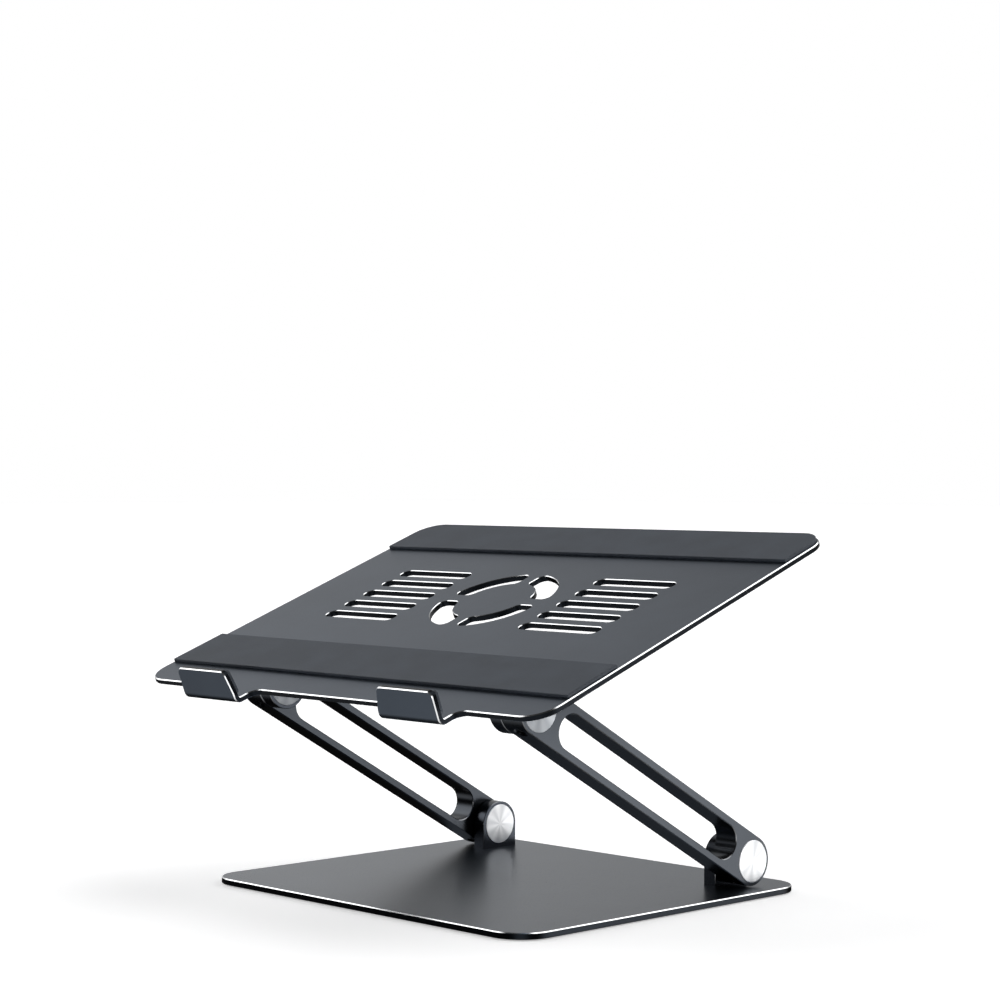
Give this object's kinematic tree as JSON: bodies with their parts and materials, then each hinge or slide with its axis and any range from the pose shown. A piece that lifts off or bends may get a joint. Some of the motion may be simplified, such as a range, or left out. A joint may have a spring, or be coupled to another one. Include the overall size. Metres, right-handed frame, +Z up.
{
  "type": "laptop stand",
  "caption": "Folding laptop stand: flat base plate, slotted arms on friction hinges, and a tilting vented tray with front hooks and rubber pads.",
  "frame": {"origin": "on the table, under the middle of the base plate, on the underside of the middle anti-slip strip", "axes": "+X to the right of the person at the laptop and along the hinge lines, +Y away from that person, +Z up"},
  "size_m": [0.29, 0.241, 0.1831],
  "materials": {
    "anodised_plate": "bead-blasted, dark grey anodised, with a bright cut edge",
    "anodised_arm": "fine-blasted, near-black anodised",
    "turned_cap": "face-turned, bright",
    "steel": "zinc plated",
    "dark_steel": "black oxide",
    "silicone_pad": "matt",
    "silicone_foot": "matt",
    "bush_plastic": "plain"
  },
  "bodies": {
    "base": {"base_plate": "anodised_plate", "base_anti_slip_strips": "silicone_foot", "left_post": "anodised_arm", "right_post": "anodised_arm", "post_screws": "dark_steel", "post_bushes": "bush_plastic", "post_friction_washers": "bush_plastic", "post_caps": "turned_cap"},
    "left_arm": {"left_arm": "anodised_arm", "left_arm_set_screws": "dark_steel", "left_hinge_pins": "steel", "left_hinge_nuts": "steel", "left_spring_washers": "steel", "left_arm_caps": "turned_cap"},
    "right_arm": {"right_arm": "anodised_arm", "right_arm_set_screws": "dark_steel", "right_hinge_pins": "steel", "right_hinge_nuts": "steel", "right_spring_washers": "steel", "right_arm_caps": "turned_cap"},
    "tray": {"tray_plate": "anodised_plate", "front_pad": "silicone_pad", "rear_pad": "silicone_pad", "hook_liners": "silicone_pad", "left_bracket": "anodised_arm", "right_bracket": "anodised_arm", "bracket_screws": "dark_steel", "bracket_bushes": "bush_plastic", "bracket_friction_washers": "bush_plastic", "bracket_caps": "turned_cap"}
  },
  "joints": [
    {"name": "left_arm_swing", "type": "hinge", "parent": "base", "child": "left_arm", "pos_m": [0, 0.0755, 0.0167], "axis": [-1, 0, 0], "range_deg": [-29.5, 60.5]},
    {"name": "right_arm_swing", "type": "hinge", "parent": "base", "child": "right_arm", "pos_m": [0, 0.0755, 0.0167], "axis": [-1, 0, 0], "range_deg": [-29.5, 60.5]},
    {"name": "tray_tilt", "type": "hinge", "parent": "left_arm", "child": "tray", "pos_m": [0, -0.07768, 0.10337], "axis": [1, 0, 0], "range_deg": [-50, 45]}
  ],
  "couplings": [
    {"joint": "right_arm_swing", "follows": "left_arm_swing", "ratio": 1}
  ]
}
